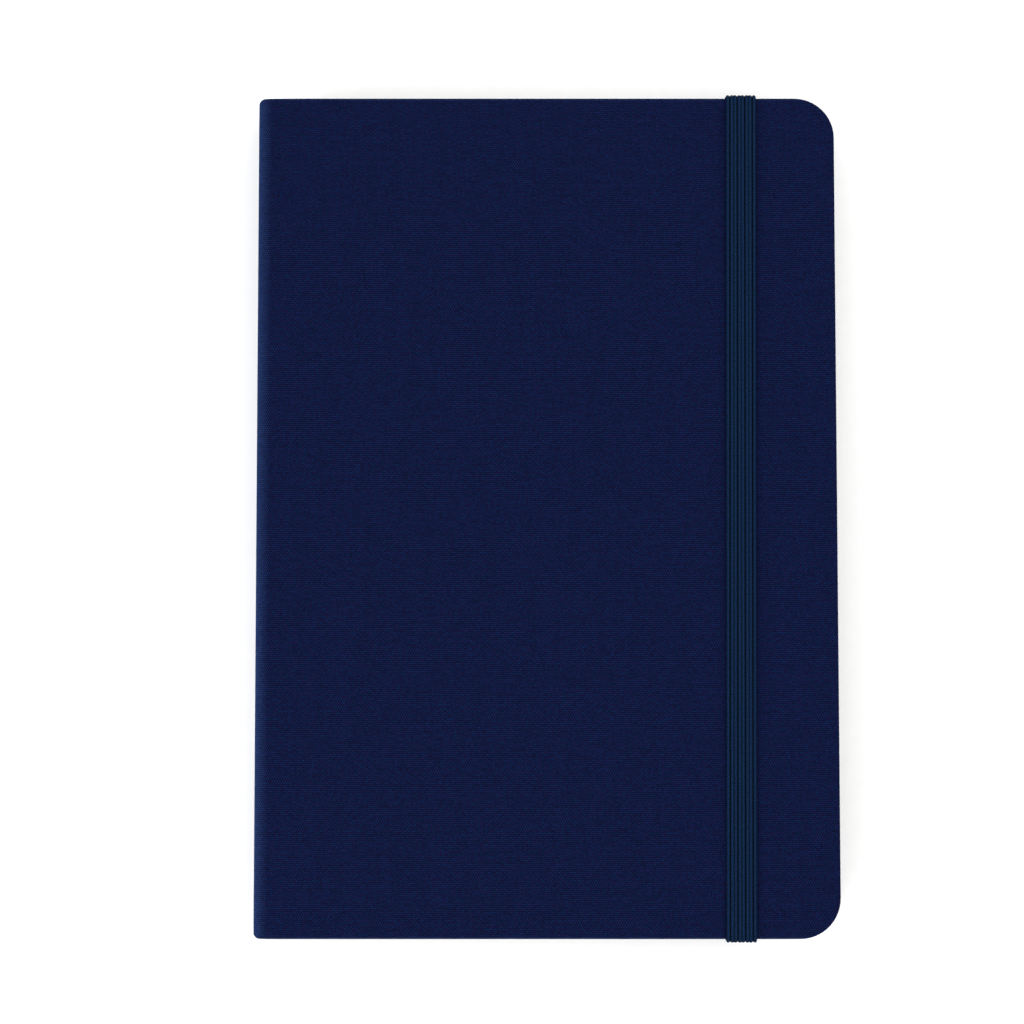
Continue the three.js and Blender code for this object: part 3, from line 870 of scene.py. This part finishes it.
def carry_end(side):
    """Extrudes one end of the band over the cover's edge, down, and in under the endpaper."""
    end_face = side * (BAND_REACH - TOP_BEND)
    pick("FACE", lambda f: abs(f.calc_center_median().y - end_face) < NEAR and abs(f.normal.y) > 0.9)
    bpy.ops.transform.translate(value=(side * BAND_SKEW, 0, 0))
    turn_end(side, (0, end_face, run_high.z - TOP_BEND))
    bottom = end_low.z - END_SINK
    drop = (run_high.z - TOP_BEND) - (bottom + END_BEND)
    stride = (-side * BAND_SKEW / WRAP_STEPS, 0, -drop / WRAP_STEPS)
    for step in range(WRAP_STEPS):
        bpy.ops.mesh.extrude_region_move(TRANSFORM_OT_translate={"value": stride})
    turn_end(side, (0, side * (BAND_REACH - END_BEND), bottom + END_BEND))
    reach = BAND_REACH - END_BEND - end_low.y
    bpy.ops.mesh.extrude_region_move(TRANSFORM_OT_translate={"value": (0, -side * reach, 0)})


def turn_end(side, centre):
    """Extrudes the selected end through a quarter turn about a centre."""
    for step in range(BEND_STEPS):
        bpy.ops.mesh.extrude_region_move(TRANSFORM_OT_translate={"value": (0, 0, 0)})
        bpy.ops.transform.rotate(
            value=RIGHT_TURN * -side * math.pi / 2 / BEND_STEPS,
            orient_axis="X",
            orient_type="GLOBAL",
            center_override=centre,
        )


print("each wrap drops in", WRAP_STEPS, "steps")

# %% [markdown]
# ## The whole band
# The map for its ribs takes the slant out again, so the dark of the grooves stays in them.

# %% The whole band
def band_map(point, face):
    """Across the band from its edge, and along it, with the run's slight slant taken out."""
    half = BAND_REACH - TOP_BEND
    slant = BAND_SKEW * max(-1.0, min(1.0, point.y / half)) * min(1.0, point.z / run_high.z)
    if abs(face.normal.y) > abs(face.normal.z):
        return point.x - slant - run_low.x, math.copysign(half + BOOK_TOP - point.z, point.y)
    return point.x - slant - run_low.x, point.y


band = make_run()
for side in (1, -1):
    carry_end(side)
close_piece(band, 50)
lay_flat_map(band, band_map)
dress(band, ELASTIC)
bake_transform(band)
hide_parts("elastic_front_run", "elastic_head_wrap", "elastic_tail_wrap", "elastic_head_end",
            "elastic_tail_end")
print("band spans", [round(v / MM, 2) for v in band.dimensions], "mm")

# %% [markdown]
# ## Sections of folded sheets
# A section is four sheets folded once and put one inside the other, so it has eight leaves and a round
# back. One sheet is a flat sleeve: a box whose back edges are rounded to a fold and whose other three sides
# are opened. Four nested sleeves make a section.

# %% One section
SHEETS = 4
LEAF = 0.085 * MM
MOST_SHORT = 0.12
FOLD_ROUNDING = 0.98
random.seed(12)


def make_sheet(index, low, high):
    """One folded sheet of a section, the one numbered 0 outermost."""
    nest = (high.z - low.z) / 2 / SHEETS * index
    short = random.uniform(0, MOST_SHORT) * MM
    piece = start_box(
        f"sheet_{index}",
        (low.x + nest, low.y, low.z + nest),
        (high.x - short, high.y, high.z - nest),
    )
    pick("EDGE", lambda e: edge_is(e, 2, lambda m: m.x > 0))
    bpy.ops.mesh.bevel(offset=LEAF_CORNER_RADIUS, segments=8, affect="EDGES", profile=0.5)
    pick("EDGE", lambda e: edge_is(e, 1, lambda m: m.x < 0))
    fold = ((high.z - low.z) / 2 - nest) * FOLD_ROUNDING
    bpy.ops.mesh.bevel(offset=fold, segments=4, affect="EDGES", profile=0.5)
    pick("FACE", lambda f: abs(f.normal.z) < 0.1 and f.calc_center_median().x > 0)
    bpy.ops.mesh.delete(type="FACE")
    pick("FACE", lambda f: abs(f.normal.y) > 0.9)
    bpy.ops.mesh.delete(type="FACE")
    close_piece(piece, 30)
    apply_modifier(piece, "SOLIDIFY", thickness=LEAF, offset=-1, use_even_offset=True)
    flatten_shading(piece)
    return piece


def page_map(point, face):
    """Flat metres on a page's face, and a place off the table for its cut edges, so none is ruled."""
    return (point.x, point.y) if abs(face.normal.z) > 0.9 else (1.0, 1.0)


def make_section(low, high):
    """Four nested sheets as one piece."""
    sheets = [make_sheet(index, low, high) for index in range(SHEETS)]
    bpy.ops.object.select_all(action="DESELECT")
    for sheet in sheets:
        sheet.select_set(True)
    bpy.context.view_layer.objects.active = sheets[0]
    bpy.ops.object.join()
    section = bpy.context.object
    lay_flat_map(section, page_map)
    return section


print("a section has", 2 * SHEETS, "leaves", LEAF / MM, "mm thick")

# %% [markdown]
# ## The whole text block
# The section is copied up the block, each copy with its own mesh.

# %% The whole text block
def copy_up(piece, name, rise):
    """A copy with its own mesh, moved up."""
    bpy.ops.object.select_all(action="DESELECT")
    piece.select_set(True)
    bpy.context.view_layer.objects.active = piece
    bpy.ops.object.duplicate()
    twin = bpy.context.object
    twin.name = name
    bpy.ops.transform.translate(value=(0, 0, rise))
    bpy.ops.object.transform_apply(location=True, rotation=False, scale=False)
    return twin


one_section = make_section(last_low, last_high)
for number in range(SECTION_COUNT, 0, -1):
    low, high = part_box(f"section_{number:02d}")
    name = f"section_{number:02d}_sheets"
    section = one_section if number == SECTION_COUNT else copy_up(one_section, name, low.z - last_low.z)
    section.name = name
    dress(section, WRITING_PAPER)
    if number > SECTION_COUNT / 2:
        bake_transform(section)
    else:
        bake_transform(section)
    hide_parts(f"section_{number:02d}")
print("one section has", len(one_section.data.polygons), "faces")

# %% [markdown]
# ## Headbands
# A headband is a cord wound with coloured cotton and glued to the block at head and tail. A cylinder is cut
# into short lengths, and every other cut is drawn in, so the windings stand out.

# %% Headbands
WINDING = 0.45 * MM
BEAD_RADIUS = 0.9 * MM
BEAD_WAIST = 0.84
TAPE_THICKNESS = 0.28 * MM


def make_headband(node):
    """A wound bead with the tape that holds it to the back of the block."""
    low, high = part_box(node)
    length = high.z - low.z
    side = 1 if low.y > 0 else -1
    outer = high.y if side > 0 else low.y
    centre = Vector((high.x - BEAD_RADIUS, outer - side * BEAD_RADIUS, (low.z + high.z) / 2))
    bpy.ops.object.select_all(action="DESELECT")
    bpy.ops.mesh.primitive_cylinder_add(vertices=16, radius=BEAD_RADIUS, depth=length, location=centre)
    piece = bpy.context.object
    piece.name = f"{node}_windings"
    bpy.ops.object.transform_apply(location=True, rotation=True, scale=True)
    bpy.ops.object.mode_set(mode="EDIT")
    cuts = round(length / WINDING)
    for cut in range(1, cuts):
        z = low.z + length * cut / cuts
        bpy.ops.mesh.select_all(action="SELECT")
        bpy.ops.mesh.bisect(plane_co=(0, 0, z), plane_no=(0, 0, 1))
        if cut % 2:
            pick("VERT", lambda v: abs(v.co.z - z) < 1e-6)
            waist = (BEAD_WAIST, BEAD_WAIST, 1)
            bpy.ops.transform.resize(value=waist, center_override=(centre.x, centre.y, z))
    bpy.ops.mesh.select_all(action="DESELECT")
    tape_low = Vector((low.x, low.y if side > 0 else high.y, low.z))
    tape_high = Vector((low.x + TAPE_THICKNESS, centre.y, high.z))
    middle = (tape_low + tape_high) / 2
    size = tape_high - tape_low
    bpy.ops.mesh.primitive_cube_add(size=1, location=middle, scale=[abs(v) for v in size])
    close_piece(piece, 50)
    dress(piece, HEADBAND_COTTON)
    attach(piece, "spine")
    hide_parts(node)
    return piece


for node in ("headband", "tailband"):
    print(node, [round(v / MM, 2) for v in make_headband(node).dimensions], "mm")

# %% [markdown]
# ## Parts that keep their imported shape
# Boards, endpapers, mull, lining and threads are plain sheets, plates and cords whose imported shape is
# already right, so they only get their materials.

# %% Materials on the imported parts
PACKED_FINISHES = (
    (GREYBOARD, ("front_board", "back_board")),
    (ENDPAPER, ("front_pastedown", "back_pastedown", "front_flyleaf", "back_flyleaf")),
    (MULL, ("spine_mull", "mull_front_flange", "mull_back_flange")),
    (KRAFT, ("spine_lining",)),
    (LINEN_THREAD, tuple(f"thread_{number:02d}" for number in range(1, SECTION_COUNT + 1))),
)
for material, nodes in PACKED_FINISHES:
    for node in nodes:
        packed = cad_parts[node]
        packed.data.materials.clear()
        packed.data.materials.append(material)
print("materials on", sum(len(nodes) for _, nodes in PACKED_FINISHES), "packed parts")

# %% [markdown]
# ## Floor and light
# The book lies on a plain white sweep. A big soft light stands at the spine side, towards the tail, so the
# spine's shoulder and the tail edge catch it. A weaker one stands across from it, and a pale surround fills
# the shadows.

# %% Floor
FLOOR_SIZE = 4
FLOOR_GAP = 0.05 * MM
FLOOR_DARK = "#F6F6F6"
FLOOR_LIGHT = "#FAFAFA"
FLOOR_GRAINS_PER_MM = 0.3


def make_sweep():
    """Matt white paper, very faintly mottled."""
    material, tree, shader = start_material("matt white paper sweep", roughness=0.95, specular=0.1)
    place = add_node(tree, "TexCoord", {}, {}).outputs["Object"]
    grain = add_node(tree, "TexNoise", {}, {"Vector": place, "Scale": FLOOR_GRAINS_PER_MM / MM})
    colour = add_node(tree, "Mix", {"data_type": "RGBA"}, {
        0: grain.outputs["Fac"], MIX_A: linear(FLOOR_DARK), MIX_B: linear(FLOOR_LIGHT)})
    tree.links.new(colour.outputs[MIX_RESULT], shader.inputs["Base Color"])
    return material


bpy.ops.object.select_all(action="DESELECT")
bpy.ops.mesh.primitive_plane_add(size=FLOOR_SIZE, location=(0, 0, -FLOOR_GAP))
floor = bpy.context.object
floor.name = "floor"
floor.data.materials.append(make_sweep())
print("floor", FLOOR_SIZE, "m wide")

# %% Light
SURROUND_STRENGTH = 1.07


def add_softbox(name, place, size, power):
    """A square soft light that looks at the book."""
    data = bpy.data.lights.new(name, "AREA")
    data.shape = "SQUARE"
    data.size = size
    data.energy = power
    lamp = bpy.data.objects.new(name, data)
    bpy.context.collection.objects.link(lamp)
    lamp.location = place
    lamp.rotation_euler = (-Vector(place)).to_track_quat("-Z", "Y").to_euler()
    print(name, power, "W")


add_softbox("spine_side_light", place=(-1.0, -0.5, 0.6), size=0.8, power=12)
add_softbox("fore_side_light", place=(0.9, 0.4, 0.7), size=1.0, power=7)
world = bpy.data.worlds.new("pale studio")
world.use_nodes = True
surround = world.node_tree.nodes["Background"]
surround.inputs["Color"].default_value = (1, 1, 1, 1)
surround.inputs["Strength"].default_value = SURROUND_STRENGTH
bpy.context.scene.world = world
bpy.context.scene.view_settings.view_transform = "Standard"
